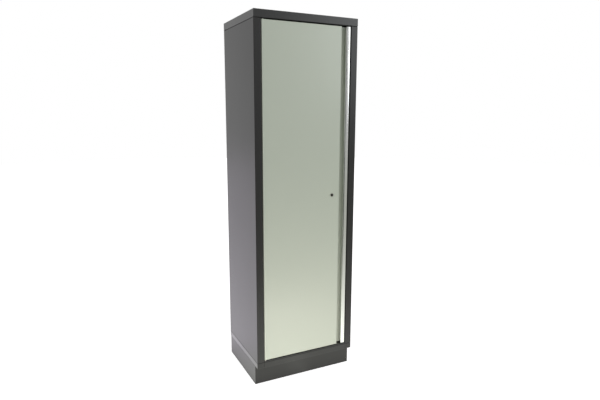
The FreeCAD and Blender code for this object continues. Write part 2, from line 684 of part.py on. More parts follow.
def door_liner():
    """The inner sheet, folded forward beside the lock channel."""
    path = [(CHANNEL_LEFT, SKIN_INSIDE), (CHANNEL_LEFT, DOOR_REAR), (DOOR_LEFT + LINER_OVERLAP, DOOR_REAR)]
    low = DOOR_BOTTOM + LINER_OVERLAP
    high = DOOR_TOP - LINER_OVERLAP
    sheet = folded(path, SHEET, BEND, "xy", low, high)
    x = (CHANNEL_LEFT - 2 * BEND, CHANNEL_LEFT + SHEET)
    y = (SKIN_INSIDE - SHEET, SKIN_REAR)
    return sheet.cut([box(x, y, (low - SHEET, DOOR_BOTTOM + DOOR_RETURN + SEAM)),
                      box(x, y, (DOOR_TOP - DOOR_RETURN - SEAM, high + SHEET))])


def door_stiffener():
    middle = (DOOR_LEFT + CHANNEL_LEFT) / 2
    half = DOOR_STIFFENER_WIDTH / 2
    foot = half + DOOR_STIFFENER_FLANGE
    crown = SKIN_REAR - SHEET
    path = [(middle - foot, SKIN_INSIDE), (middle - half, SKIN_INSIDE), (middle - half, crown),
            (middle + half, crown), (middle + half, SKIN_INSIDE), (middle + foot, SKIN_INSIDE)]
    ends = (DOOR_BOTTOM + DOOR_STIFFENER_MARGIN, DOOR_TOP - DOOR_STIFFENER_MARGIN)
    return folded(path, SHEET, 0, "xy", *ends)


def corner_plate(z):
    """A doubler inside one end of the door, round the hinge bush."""
    x = (DOOR_LEFT + BEND, DOOR_LEFT + CORNER_PLATE_LENGTH)
    body = box(x, (DOOR_FRONT + BEND, SKIN_REAR - BEND), z)
    return body.cut(pivot(BUSH_RADIUS + FIT, (z[0] - SHEET, z[1] + SHEET)))


def door_top_plate():
    return corner_plate((DOOR_TOP - SHEET - CORNER_PLATE, DOOR_TOP - SHEET))


def door_bottom_plate():
    return corner_plate((DOOR_BOTTOM + SHEET, DOOR_BOTTOM + SHEET + CORNER_PLATE))


def pivot_bush(edge, way):
    """A flanged bush in one end of the door: way is 1 for the top and -1 for the bottom."""
    body = pivot(BUSH_RADIUS, sorted((edge, edge - way * (SHEET + CORNER_PLATE))))
    flange = pivot(BUSH_FLANGE_RADIUS, sorted((edge, edge + way * BUSH_FLANGE)))
    bore = pivot(PIVOT_RADIUS + FIT, sorted((edge + way * PIVOT_ENGAGEMENT, edge - way * PIVOT_ENGAGEMENT)))
    return join([body, flange]).cut(bore)


def upper_pivot_bush():
    return pivot_bush(DOOR_TOP, 1)


def lower_pivot_bush():
    return pivot_bush(DOOR_BOTTOM, -1)


def handle_profile():
    """The extruded pull: finger lip, outer wall, groove floor with fine ribs and a fixing wall."""
    lip = DOOR_RIGHT - PULL_LIP
    path = [(lip, DOOR_FRONT + PULL_LIP_TURN), (lip, DOOR_FRONT), (DOOR_RIGHT, DOOR_FRONT),
            (DOOR_RIGHT, DOOR_REAR), (PANEL_RIGHT, DOOR_REAR), (PANEL_RIGHT, DOOR_FRONT + PULL_REVEAL)]
    radii = [PULL_LIP_RADIUS] + [PULL_CORNER] * 3
    section = folded(path, PULL_WALL, radii, "xy", DOOR_BOTTOM, DOOR_TOP)
    floor = DOOR_REAR - PULL_WALL
    flutes = []
    for i in range(PULL_RIB_COUNT):
        x = around(PANEL_RIGHT + PULL_RIB_FIRST + PULL_RIB_PITCH * i, PULL_RIB_WIDTH)
        y = (floor - SHEET, floor + PULL_RIB_DEPTH)
        flutes.append(box(x, y, (DOOR_BOTTOM - SHEET, DOOR_TOP + SHEET)))
    return section.cut(flutes)


def strike_plates():
    x = around(CATCH_X, STRIKE_WIDTH)
    y = (DOOR_REAR, DOOR_REAR + STRIKE_SHEET)
    return group([box(x, y, around(z, STRIKE_HEIGHT)) for z in CATCH_HEIGHTS])


def rod_guides():
    guides = []
    for upper, z in ((True, LOCK_HEIGHT + GUIDE_NEAR), (True, DOOR_TOP - GUIDE_FAR),
                     (False, LOCK_HEIGHT - GUIDE_NEAR), (False, DOOR_BOTTOM + GUIDE_FAR)):
        tall = around(z, GUIDE_HEIGHT)
        block = box(around(rod_centre(upper), GUIDE_WIDTH), (SKIN_INSIDE, SKIN_REAR), tall)
        guides.append(block.cut(rod_passage(upper, ROD_GUIDE_CLEARANCE, (tall[0] - SHEET, tall[1] + SHEET))))
    return group(guides)


# ---- lock and rods -----------------------------------------------------------------------------------

def lock_pin(radius, y):
    """A cylinder on the lock's axis over the (low, high) pair y."""
    return pin(radius, (LOCK_X, y[0], LOCK_HEIGHT), (LOCK_X, y[1], LOCK_HEIGHT))


def lock_square(across, y):
    """A square bar on the lock's axis over the (low, high) pair y."""
    return box(around(LOCK_X, across), y, around(LOCK_HEIGHT, across))


def lock_housing():
    rim = lock_pin(LOCK_RIM_RADIUS, (FRONT, DOOR_FRONT))
    front_edge = [edge for edge in rim.Edges if edge.CenterOfMass.y < FRONT + LOCK_RIM_BEVEL / 2]
    rim = rim.makeChamfer(LOCK_RIM_BEVEL, front_edge)
    bore = lock_pin(LOCK_PLUG_RADIUS + FIT, (FRONT - SHEET, LOCK_REAR + SHEET))
    return join([rim, lock_body(0, (DOOR_FRONT, LOCK_REAR))]).cut(bore)


def lock_nut():
    y = (SKIN_INSIDE, SKIN_INSIDE + LOCK_NUT_HEIGHT)
    nut = hexagon(LOCK_NUT_ACROSS, (LOCK_X, y[0], LOCK_HEIGHT), (LOCK_X, y[1], LOCK_HEIGHT))
    return nut.cut(lock_pin(LOCK_BODY_RADIUS + FIT, (y[0] - SHEET, y[1] + SHEET)))


def lock_plug():
    face = FRONT + LOCK_PLUG_RECESS
    body = join([lock_pin(LOCK_PLUG_RADIUS, (face, CRANK_FRONT)),
                 lock_square(SPIGOT_ACROSS, (CRANK_FRONT, CRANK_REAR))])
    keyway = box(around(LOCK_X, KEYWAY_WIDTH), (face - SHEET, face + KEYWAY_DEPTH),
                 around(LOCK_HEIGHT, KEYWAY_HEIGHT))
    tapping = (CRANK_REAR - CRANK_SCREW_LENGTH - SHEET, CRANK_REAR + SHEET)
    return body.cut([keyway, lock_pin(CRANK_THREAD_RADIUS + FIT, tapping)])


def lock_crank():
    """The double arm on the plug, with a pin for each rod, drawn with the lock open."""
    arm = slotted((0, 0), CRANK_RADIUS, CRANK_WIDTH / 2, (CRANK_FRONT, CRANK_REAR))
    tips = [pin(CRANK_PIN_RADIUS, (x, CRANK_REAR, 0), (x, CRANK_REAR + CRANK_PIN_LENGTH, 0))
            for x in both(CRANK_RADIUS)]
    crank = join([arm] + tips)
    crank.Placement = FreeCAD.Placement(Vector(LOCK_X, 0, LOCK_HEIGHT),
                                        FreeCAD.Rotation(Vector(0, 1, 0), LOCK_TURN / 2))
    return crank.cut(lock_square(SPIGOT_ACROSS + SPIGOT_FIT, (CRANK_FRONT - SHEET, CRANK_REAR + SHEET)))


def crank_screw():
    head = hexagon(CRANK_SCREW_ACROSS, (LOCK_X, CRANK_REAR, LOCK_HEIGHT),
                   (LOCK_X, CRANK_REAR + CRANK_SCREW_HEAD, LOCK_HEIGHT))
    return join([head, lock_pin(CRANK_THREAD_RADIUS, (CRANK_REAR - CRANK_SCREW_LENGTH, CRANK_REAR))])


def rod(upper):
    """One lock rod, slotted for its crank pin and drawn back inside the door."""
    way = 1 if upper else -1
    x = rod_centre(upper)
    slot_z = LOCK_HEIGHT - way * PIN_RISE
    foot = slot_z - way * ROD_TAIL
    tip = DOOR_TOP - ROD_SHORT if upper else DOOR_BOTTOM + ROD_SHORT
    shoulder = tip - way * ROD_TIP_CORNER
    left, right = around(x, ROD_WIDTH)
    points = [(left, foot), (right, foot), (right, shoulder), (right - ROD_TIP_CORNER, tip),
              (left + ROD_TIP_CORNER, tip), (left, shoulder)]
    bar = sweep(points, [0] * len(points), "xz", ROD_FRONT, ROD_REAR)
    return bar.cut(slotted((x, slot_z), (CRANK_RADIUS - PIN_SIDE) / 2, CRANK_PIN_RADIUS + ROD_SLOT_CLEARANCE,
                           (ROD_FRONT - SHEET, ROD_REAR + SHEET)))


def upper_rod():
    return rod(True)


def lower_rod():
    return rod(False)


# ---- the pieces --------------------------------------------------------------------------------------

CARCASS = [top_cap, left_side_panel, right_side_panel, back_panel, bottom_tray, sill_rail, floor_panel,
           plinth_skirt, plinth_back]
SHELVING = [shelf_stiffeners, shelf_clips]
FITTINGS = [upper_hinge_bracket, lower_hinge_bracket, upper_hinge_pin, lower_hinge_pin, thrust_washer,
            rod_keepers, catch_housings, catch_magnets, door_buffers]
DOOR = [door_skin, door_liner, door_stiffener, door_top_plate, door_bottom_plate, upper_pivot_bush,
        lower_pivot_bush, handle_profile, strike_plates, rod_guides, lock_housing, lock_nut]
LOCK = [lock_plug, lock_crank, crank_screw, upper_rod, lower_rod]


def pieces():
    """Every piece by name."""
    named = {build.__name__: build() for build in CARCASS + SHELVING + FITTINGS + DOOR + LOCK}
    for i, slot in enumerate(shelf_slots()):
        named[f"shelf_{i + 1}"] = shelf(slot)
    for side_name, side in (("left", -1), ("right", 1)):
        for row_name, y in zip(("front", "rear"), UPRIGHT_Y):
            named[f"shelf_upright_{side_name}_{row_name}"] = upright(side, y)
    return named


os.makedirs("parts", exist_ok=True)
for name, shape in pieces().items():
    shape.exportStep(f"parts/{name}.step")
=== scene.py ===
import json
import math

import bmesh
import bpy
from mathutils import Matrix, Vector


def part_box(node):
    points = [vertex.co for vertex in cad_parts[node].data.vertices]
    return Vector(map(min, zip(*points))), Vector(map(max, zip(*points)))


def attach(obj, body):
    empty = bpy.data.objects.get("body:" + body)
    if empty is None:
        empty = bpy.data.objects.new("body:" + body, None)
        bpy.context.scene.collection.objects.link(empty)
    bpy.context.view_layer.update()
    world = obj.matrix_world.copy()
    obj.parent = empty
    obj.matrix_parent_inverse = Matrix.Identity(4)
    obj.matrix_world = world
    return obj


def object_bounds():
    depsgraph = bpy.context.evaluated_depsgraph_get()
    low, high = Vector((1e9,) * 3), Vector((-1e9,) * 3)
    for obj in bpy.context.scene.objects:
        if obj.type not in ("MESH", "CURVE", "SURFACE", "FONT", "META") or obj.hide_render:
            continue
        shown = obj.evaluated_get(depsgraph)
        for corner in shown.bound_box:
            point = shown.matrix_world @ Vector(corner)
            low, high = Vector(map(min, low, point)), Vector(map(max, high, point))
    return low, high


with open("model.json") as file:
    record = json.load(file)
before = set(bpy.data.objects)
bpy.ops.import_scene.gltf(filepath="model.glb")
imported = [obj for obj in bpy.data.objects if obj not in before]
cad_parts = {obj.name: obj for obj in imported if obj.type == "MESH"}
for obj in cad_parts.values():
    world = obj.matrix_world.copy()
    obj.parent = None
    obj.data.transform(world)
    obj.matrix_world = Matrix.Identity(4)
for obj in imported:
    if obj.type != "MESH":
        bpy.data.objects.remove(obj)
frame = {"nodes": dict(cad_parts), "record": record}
cad_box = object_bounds()

# ---- sizes of the fittings dressed here, in metres --------------------------------------------------

MM = 0.001

SHEET = 1.0 * MM                # carcass and door sheet
PULL_WALL = 1.8 * MM            # wall of the pull's section
LIP_WIDTH = 25.0 * MM           # the pull's lip
LIP_DEPTH = 8.0 * MM            # and its turned edge, from the front
LIP_CROWN = 7.0 * MM            # highest line of the lip's bow, from its outer edge
LIP_BOW_RADIUS = 17.86 * MM     # bow that the lip's finish shows
EAR_BACK = 4.2 * MM             # rear face of a catch's ear behind the front of its housing
EAR_SCREW_INSET = 5.0 * MM      # catch screws from the edge of the ear
CATCH_MIDDLE = 20.0 * MM        # middle of a catch from its end
CATCH_SCREW_SPREAD = 26.0 * MM
STRIKE_RIVET_SPREAD = 26.0 * MM
STRIKE_MIDDLE = 18.0 * MM
PULL_RIVETS = 7
PULL_RIVET_MARGIN = 60.0 * MM   # from the door's ends
BRACKET_SCREW_INSET = 9.0 * MM  # from the rear and the free end of a hinge bracket
BRACKET_SCREW_STEP = (-17.0 * MM, 6.0 * MM)
CAP_SEAM = 1.6 * MM             # gaps between the sides and the flanges above and below them
TRAY_SEAM = 1.2 * MM
WELD_INSET = 11.0 * MM          # spot welds from the locker's sides
WELD_PITCH = 100.0 * MM
WELD_RADIUS = 2.8 * MM
WELD_SKIN = 0.3 * MM            # what lies this close to the rear can carry a weld's mark
COAT_RELIEF = 0.2 * MM          # how high a height of 1 stands, in a coat, a metal and a moulded part
METAL_RELIEF = 0.1 * MM
MOULD_RELIEF = 0.1 * MM
METAL_WEAR_WIDTH = 0.6 * MM     # how far the rubbed edges reach in
MOULD_WEAR_WIDTH = 0.5 * MM

# ---- small helpers ----------------------------------------------------------------------------------

def srgb(red, green, blue):
    """A colour given as it looks on a screen, 0 to 255, as the shader's linear colour."""
    linear = []
    for value in (red, green, blue):
        value = value / 255
        linear.append(value / 12.92 if value <= 0.04045 else ((value + 0.055) / 1.055) ** 2.4)
    return (*linear, 1.0)


class Tree:
    """Adds nodes to a node tree and joins them."""

    def __init__(self, tree):
        self.tree = tree

    def add(self, kind, **settings):
        node = self.tree.nodes.new(kind)
        for name, value in settings.items():
            setattr(node, name, value)
        return node

    def join(self, source, target):
        self.tree.links.new(source, target)

    def feed(self, socket, value):
        if isinstance(value, bpy.types.NodeSocket):
            self.join(value, socket)
        elif value is not None:
            socket.default_value = value

    def math(self, operation, first, second=None, third=None, clamp=False):
        node = self.add("ShaderNodeMath", operation=operation, use_clamp=clamp)
        for socket, value in zip(node.inputs, (first, second, third)):
            self.feed(socket, value)
        return node.outputs[0]

    def plus(self, first, second, clamp=False):
        return self.math("ADD", first, second, clamp=clamp)

    def less(self, first, second):
        return self.math("SUBTRACT", first, second)

    def times(self, first, second, clamp=False):
        return self.math("MULTIPLY", first, second, clamp=clamp)

    def over(self, first, second):
        return self.math("DIVIDE", first, second)

    def swing(self, noise, share):
        """A noise about its middle, times a share."""
        return self.times(self.less(noise, 0.5), share)

    def distance(self, first, second):
        """The length of two offsets at a right angle."""
        return self.math("SQRT", self.plus(self.times(first, first), self.times(second, second)))

    def apart(self, vector):
        """A vector's X, Y and Z."""
        node = self.add("ShaderNodeSeparateXYZ")
        self.join(vector, node.inputs[0])
        return node.outputs["X"], node.outputs["Y"], node.outputs["Z"]

    def ranged(self, value, from_low, from_high, to_low, to_high):
        """A value carried from one range to another, and held at its ends."""
        node = self.add("ShaderNodeMapRange")
        for name, number in (("Value", value), ("From Min", from_low), ("From Max", from_high),
                             ("To Min", to_low), ("To Max", to_high)):
            self.feed(node.inputs[name], number)
        return node.outputs["Result"]

    def mix(self, factor, first, second):
        """Two colours mixed. A Mix node's colours are its sockets 6 and 7, and 2 on its way out."""
        node = self.add("ShaderNodeMix", data_type="RGBA")
        self.feed(node.inputs[0], factor)
        self.feed(node.inputs[6], first)
        self.feed(node.inputs[7], second)
        return node.outputs[2]

    def shaded(self, colour, value):
        """A colour made lighter or darker."""
        node = self.add("ShaderNodeHueSaturation")
        self.feed(node.inputs["Color"], colour)
        self.feed(node.inputs["Value"], value)
        return node.outputs["Color"]

    def noise(self, vector, scale, detail, roughness):
        node = self.add("ShaderNodeTexNoise")
        self.feed(node.inputs["Vector"], vector)
        self.feed(node.inputs["Scale"], scale)
        node.inputs["Detail"].default_value = detail
        node.inputs["Roughness"].default_value = roughness
        return node.outputs["Fac"]

    def stretched(self, vector, scale):
        node = self.add("ShaderNodeMapping")
        self.feed(node.inputs["Vector"], vector)
        self.feed(node.inputs["Scale"], scale)
        return node.outputs["Vector"]

    def object_place(self):
        return self.add("ShaderNodeTexCoord").outputs["Object"]


def effect_group(name, inputs, outputs):
    """A shader group with named sockets, ready for its nodes."""
    group = bpy.data.node_groups.new(name, "ShaderNodeTree")
    for socket, kind, value in inputs:
        made = group.interface.new_socket(name=socket, in_out="INPUT", socket_type=kind)
        if value is not None:
            made.default_value = value
    for socket, kind in outputs:
        group.interface.new_socket(name=socket, in_out="OUTPUT", socket_type=kind)
    tree = Tree(group)
    start = tree.add("NodeGroupInput")
    end = tree.add("NodeGroupOutput")
    return tree, start.outputs, end.inputs


COLOUR = "NodeSocketColor"
NUMBER = "NodeSocketFloat"
VECTOR = "NodeSocketVector"


# ---- effects shared by the materials ----------------------------------------------------------------

NOISE_SPAN = (0.3, 0.7)         # most of a noise lies between these
SOFT_RIM = (0.7, 1.0)           # where a line or a dimple fades out, as a share of its reach
PATCH_SPAN = (0.42, 0.68)       # of a noise, from a patch's edge to its middle
SHELTER_SPAN = (0.50, 0.25)     # open room around a point, from no painted shade to full painted shade
FLOOR_SHADE_SPAN = (0.3, 1.0)        # height in shares of the floor line, from full painted shade to none


def powder_coat_effect():
    """Orange peel, fine speckle and slow shade drift of an oven-cured coat."""
    tree, given, made = effect_group(
        "powder coat",
        [("Colour", COLOUR, None), ("Peel Size", NUMBER, 700.0), ("Grit Share", NUMBER, 3.1),
         ("Cloud Size", NUMBER, 2.3), ("Speckle", NUMBER, 0.05), ("Drift", NUMBER, 0.04),
         ("Roughness", NUMBER, 0.4), ("Peel Gloss", NUMBER, 0.10), ("Cloud Gloss", NUMBER, 0.06),
         ("Grit Height", NUMBER, 0.35)],
        [("Colour", COLOUR), ("Roughness", NUMBER), ("Height", NUMBER)])
    place = tree.object_place()
    peel = tree.noise(place, given["Peel Size"], detail=2.0, roughness=0.5)
    grit = tree.noise(place, tree.times(given["Peel Size"], given["Grit Share"]), detail=1.0, roughness=0.6)
    cloud = tree.noise(place, given["Cloud Size"], detail=3.0, roughness=0.5)
    uneven = tree.plus(tree.swing(grit, given["Speckle"]), tree.swing(cloud, given["Drift"]))
    tree.join(tree.shaded(given["Colour"], tree.plus(uneven, 1.0)), made["Colour"])
    rough = tree.plus(given["Roughness"], tree.swing(peel, given["Peel Gloss"]))
    rough = tree.plus(rough, tree.swing(cloud, given["Cloud Gloss"]), clamp=True)
    tree.join(rough, made["Roughness"])
    tree.join(tree.plus(peel, tree.times(grit, given["Grit Height"])), made["Height"])
    return tree.tree


def edge_wear_effect():
    """A mask of the corners that hands and tools rub."""
    tree, given, made = effect_group(
        "edge wear",
        [("Width", NUMBER, 1.2 * MM), ("Amount", NUMBER, 0.5), ("Patch Size", NUMBER, 40.0),
         ("Least", NUMBER, 0.15), ("Sharpest", NUMBER, 0.80), ("Bluntest", NUMBER, 0.985)],
        [("Mask", NUMBER)])
    rounded = tree.add("ShaderNodeBevel", samples=6)
    tree.feed(rounded.inputs["Radius"], given["Width"])
    shape = tree.add("ShaderNodeNewGeometry")
    facing = tree.add("ShaderNodeVectorMath", operation="DOT_PRODUCT")
    tree.join(rounded.outputs["Normal"], facing.inputs[0])
    tree.join(shape.outputs["Normal"], facing.inputs[1])
    turned = tree.ranged(facing.outputs["Value"], given["Bluntest"], given["Sharpest"], 0.0, 1.0)
    patches = tree.noise(tree.object_place(), given["Patch Size"], detail=4.0, roughness=0.65)
    broken = tree.ranged(patches, *PATCH_SPAN, given["Least"], 1.0)
    tree.join(tree.times(tree.times(turned, broken), given["Amount"], clamp=True), made["Mask"])
    return tree.tree


def dust_effect():
    """A mask of thin dust on what faces up, thicker in patches."""
    tree, given, made = effect_group(
        "settled dust",
        [("Amount", NUMBER, 0.15), ("Patch Size", NUMBER, 9.0), ("Least", NUMBER, 0.3),
         ("Steepest", NUMBER, 0.6)],
        [("Mask", NUMBER)])
    shape = tree.add("ShaderNodeNewGeometry")
    _, _, upward = tree.apart(shape.outputs["Normal"])
    facing = tree.ranged(upward, given["Steepest"], 1.0, 0.0, 1.0)
    patches = tree.noise(tree.object_place(), given["Patch Size"], detail=5.0, roughness=0.7)
    thick = tree.ranged(patches, *NOISE_SPAN, given["Least"], 1.0)
    tree.join(tree.times(tree.times(facing, thick), given["Amount"], clamp=True), made["Mask"])
    return tree.tree


def drawn_metal_effect():
    """Fine lines along one direction, as on an extrusion or a rolled bar."""
    tree, given, made = effect_group(
        "drawn metal",
        [("Colour", COLOUR, None), ("Stretch", VECTOR, (900.0, 900.0, 6.0)),
         ("Contrast", NUMBER, 0.10), ("Smear Size", NUMBER, 14.0), ("Smear", NUMBER, 0.6),
         ("Roughness", NUMBER, 0.3), ("Line Gloss", NUMBER, 0.16)],
        [("Colour", COLOUR), ("Roughness", NUMBER), ("Height", NUMBER)])
    place = tree.object_place()
    lines = tree.noise(tree.stretched(place, given["Stretch"]), 1.0, detail=3.0, roughness=0.6)
    smear = tree.noise(place, given["Smear Size"], detail=4.0, roughness=0.6)
    uneven = tree.plus(tree.less(lines, 0.5), tree.swing(smear, given["Smear"]))
    tone = tree.shaded(given["Colour"], tree.plus(1.0, tree.times(uneven, given["Contrast"])))
    tree.join(tone, made["Colour"])
    rough = tree.plus(given["Roughness"], tree.times(uneven, given["Line Gloss"]), clamp=True)
    tree.join(rough, made["Roughness"])
    tree.join(lines, made["Height"])
    return tree.tree


def moulded_effect():
    """The fine spark-eroded grain of a moulded part."""
    tree, given, made = effect_group(
        "moulded grain",
        [("Colour", COLOUR, None), ("Grain Size", NUMBER, 1500.0), ("Flow Size", NUMBER, 60.0),
         ("Darkest", NUMBER, 0.92), ("Lightest", NUMBER, 1.08), ("Roughness", NUMBER, 0.5),
         ("Grain Gloss", NUMBER, 0.2)],
        [("Colour", COLOUR), ("Roughness", NUMBER), ("Height", NUMBER)])
    place = tree.object_place()
    grain = tree.noise(place, given["Grain Size"], detail=3.0, roughness=0.7)
    flow = tree.noise(place, given["Flow Size"], detail=3.0, roughness=0.5)
    shade = tree.ranged(flow, *NOISE_SPAN, given["Darkest"], given["Lightest"])
    tree.join(tree.shaded(given["Colour"], shade), made["Colour"])
    rough = tree.plus(given["Roughness"], tree.swing(grain, given["Grain Gloss"]), clamp=True)
    tree.join(rough, made["Roughness"])
    tree.join(grain, made["Height"])
    return tree.tree


def seam_shade_effect():
    """A mask of painted shade, which also dulls the coat: in seams and recesses, in lines along the cap's
    and the tray's seams, and along the floor line.
    """
    cap_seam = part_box("top_cap")[0].z - CAP_SEAM / 2
    tray_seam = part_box("bottom_tray")[1].z + TRAY_SEAM / 2
    tree, given, made = effect_group(
        "painted seam shade",
        [("Reach", NUMBER, 3.0 * MM), ("Amount", NUMBER, 0.8), ("Cap Seam", NUMBER, cap_seam),
         ("Tray Seam", NUMBER, tray_seam), ("Spread", NUMBER, 2.1 * MM), ("Floor Line", NUMBER, 6.0 * MM),
         ("Floor Shade", NUMBER, 0.8)],
        [("Mask", NUMBER)])
    # Painted shade where little open room surrounds a point, as in seams and recesses.
    shelter = tree.add("ShaderNodeAmbientOcclusion", samples=8)
    tree.feed(shelter.inputs["Distance"], given["Reach"])
    held = tree.ranged(shelter.outputs["AO"], *SHELTER_SPAN, 0.0, 1.0)
    _, _, height = tree.apart(tree.object_place())
    # Painted shadow lines along the cap's and the tray's seams.
    for seam in ("Cap Seam", "Tray Seam"):
        away = tree.math("ABSOLUTE", tree.less(height, given[seam]))
        line = tree.ranged(tree.over(away, given["Spread"]), *SOFT_RIM, 1.0, 0.0)
        held = tree.math("MAXIMUM", held, line)
    # Painted contact shade along the foot, fading upwards from the floor line.
    floor_shade = tree.ranged(tree.over(height, given["Floor Line"]), *FLOOR_SHADE_SPAN, given["Floor Shade"], 0.0)
    held = tree.math("MAXIMUM", held, floor_shade)
    tree.join(tree.times(held, given["Amount"], clamp=True), made["Mask"])
    return tree.tree


def weld_effect():
    """Shallow round dimples left by spot welds in a column up the rear edges."""
    tree, given, made = effect_group(
        "spot welds",
        [("Column", NUMBER, cad_box[1].x - WELD_INSET), ("Plane", NUMBER, cad_box[1].y - WELD_SKIN),
         ("Pitch", NUMBER, WELD_PITCH), ("Radius", NUMBER, WELD_RADIUS)],
        [("Height", NUMBER)])
    across, along, height = tree.apart(tree.object_place())
    aside = tree.less(tree.math("ABSOLUTE", across), given["Column"])
    above = tree.less(tree.math("FLOORED_MODULO", height, given["Pitch"]), tree.times(given["Pitch"], 0.5))
    away = tree.over(tree.distance(aside, above), given["Radius"])
    dimple = tree.ranged(away, *SOFT_RIM, 0.0, 1.0)
    elsewhere = tree.math("LESS_THAN", along, given["Plane"])
    tree.join(tree.math("MAXIMUM", dimple, elsewhere), made["Height"])
    return tree.tree


POWDER = powder_coat_effect()
WEAR = edge_wear_effect()
DUST = dust_effect()
DRAWN = drawn_metal_effect()
MOULDED = moulded_effect()
SEAM_SHADE = seam_shade_effect()
WELDS = weld_effect()


# ---- materials --------------------------------------------------------------------------------------

def start_material(name):
    """An empty node material: its tree, its shader and its inputs."""
    material = bpy.data.materials.new(name)
    material.use_nodes = True
    tree = Tree(material.node_tree)
    shader = next(node for node in material.node_tree.nodes if node.type == "BSDF_PRINCIPLED")
    return material, tree, shader.inputs


def place_group(tree, group, **values):
    """An effect placed in a material with its own values: its outputs."""
    node = tree.add("ShaderNodeGroup")
    node.node_tree = group
    for name, value in values.items():
        tree.feed(node.inputs[name.replace("_", " ")], value)
    return node.outputs


def bump(tree, height, strength, distance, shader):
    """A height as relief in a shader's normals."""
    node = tree.add("ShaderNodeBump")
    node.inputs["Strength"].default_value = strength
    node.inputs["Distance"].default_value = distance
    tree.feed(node.inputs["Height"], height)
    tree.join(node.outputs["Normal"], shader["Normal"])


DUST_COLOUR = srgb(176, 174, 168)
# Near black that painted shade darkens the coat towards.
PAINTED_SHADE_COLOUR = srgb(14, 14, 14)
RUBBED_METAL = srgb(225, 225, 222)
RUBBED_PLASTIC = srgb(200, 200, 200)
WELD_HEIGHT = 2.0               # of a weld's mark, against the coat's own peel
DUST_DULLS = 0.4                # roughness that full dust and full painted shade add
PAINTED_SHADE_DULLS = 0.7
COAT_IOR = 1.5
LACQUER_ROUGHNESS = 0.3
MOULD_WEAR = 0.25               # how much of a moulded part's edges is rubbed, and how light they go
MOULD_FADE = 0.25


def coated_steel(name, colour, worn, roughness, peel, speckle, drift, wear, dust, strength, lacquer=0.0):
    """Powder coat with rubbed edges, dust, painted shade in its seams, recesses and along its foot, and
    spot welds behind.
    """
    material, tree, shader = start_material(name)
    coat = place_group(tree, POWDER, Colour=colour, Peel_Size=peel, Speckle=speckle, Drift=drift,
                       Roughness=roughness)
    rubbed = place_group(tree, WEAR, Amount=wear)["Mask"]
    dusty = place_group(tree, DUST, Amount=dust)["Mask"]
    painted_shade = place_group(tree, SEAM_SHADE)["Mask"]
    tone = tree.mix(rubbed, coat["Colour"], worn)
    tone = tree.mix(dusty, tone, DUST_COLOUR)
    # Painted shade: seams, recesses and the floor line darkened towards near black.
    tone = tree.mix(painted_shade, tone, PAINTED_SHADE_COLOUR)
    tree.join(tone, shader["Base Color"])
    dull = tree.plus(tree.times(dusty, DUST_DULLS), tree.times(painted_shade, PAINTED_SHADE_DULLS))
    tree.join(tree.plus(coat["Roughness"], dull, clamp=True), shader["Roughness"])
    shader["IOR"].default_value = COAT_IOR
    shader["Coat Weight"].default_value = lacquer
    shader["Coat Roughness"].default_value = LACQUER_ROUGHNESS
    welds = tree.times(place_group(tree, WELDS)["Height"], WELD_HEIGHT)
    bump(tree, tree.plus(coat["Height"], welds), strength, COAT_RELIEF, shader)
    return material


def bowed(tree, height, middle, radius, strength):
    """A metal's relief with a bow across X added, so that a flat lip shines as a rolled one does."""
    across, _, _ = tree.apart(tree.object_place())
    aside = tree.less(across, middle)
    fall = tree.times(tree.times(aside, aside), -0.5 / (radius * strength * METAL_RELIEF))
    return tree.plus(height, fall)


def bare_metal(name, colour, roughness, stretch, contrast, wear, strength, anisotropic=0.0, bow=None):
    """Drawn or ground metal. A bow is its middle along X and its radius."""
    material, tree, shader = start_material(name)
    drawn = place_group(tree, DRAWN, Colour=colour, Stretch=stretch, Contrast=contrast, Roughness=roughness)
    rubbed = place_group(tree, WEAR, Amount=wear, Width=METAL_WEAR_WIDTH)["Mask"]
    tree.join(tree.mix(rubbed, drawn["Colour"], RUBBED_METAL), shader["Base Color"])
    tree.join(drawn["Roughness"], shader["Roughness"])
    shader["Metallic"].default_value = 1.0
    shader["Anisotropic"].default_value = anisotropic
    height = bowed(tree, drawn["Height"], *bow, strength) if bow else drawn["Height"]
    bump(tree, height, strength, METAL_RELIEF, shader)
    return material


def moulded(name, colour, roughness, grain, strength, specular=0.5):
    """Moulded plastic or rubber."""
    material, tree, shader = start_material(name)
    skin = place_group(tree, MOULDED, Colour=colour, Grain_Size=grain, Roughness=roughness)
    rubbed = place_group(tree, WEAR, Amount=MOULD_WEAR, Width=MOULD_WEAR_WIDTH)["Mask"]
    lighter = tree.mix(MOULD_FADE, colour, RUBBED_PLASTIC)
    tree.join(tree.mix(rubbed, skin["Colour"], lighter), shader["Base Color"])
    tree.join(skin["Roughness"], shader["Roughness"])
    shader["Specular IOR Level"].default_value = specular
    bump(tree, skin["Height"], strength, MOULD_RELIEF, shader)
    return material


def charcoal(name, lacquer=0.0):
    """The carcass's coat, under some clear lacquer where a piece has it."""
    return coated_steel(name, colour=srgb(38, 38, 37), worn=srgb(84, 83, 84), roughness=0.30, peel=650.0,
                        speckle=0.14, drift=0.08, wear=0.35, dust=0.10, strength=0.12, lacquer=lacquer)


EVEN_GRIND = (500.0, 500.0, 500.0)
LIP_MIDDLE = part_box("handle_profile")[1].x - LIP_CROWN

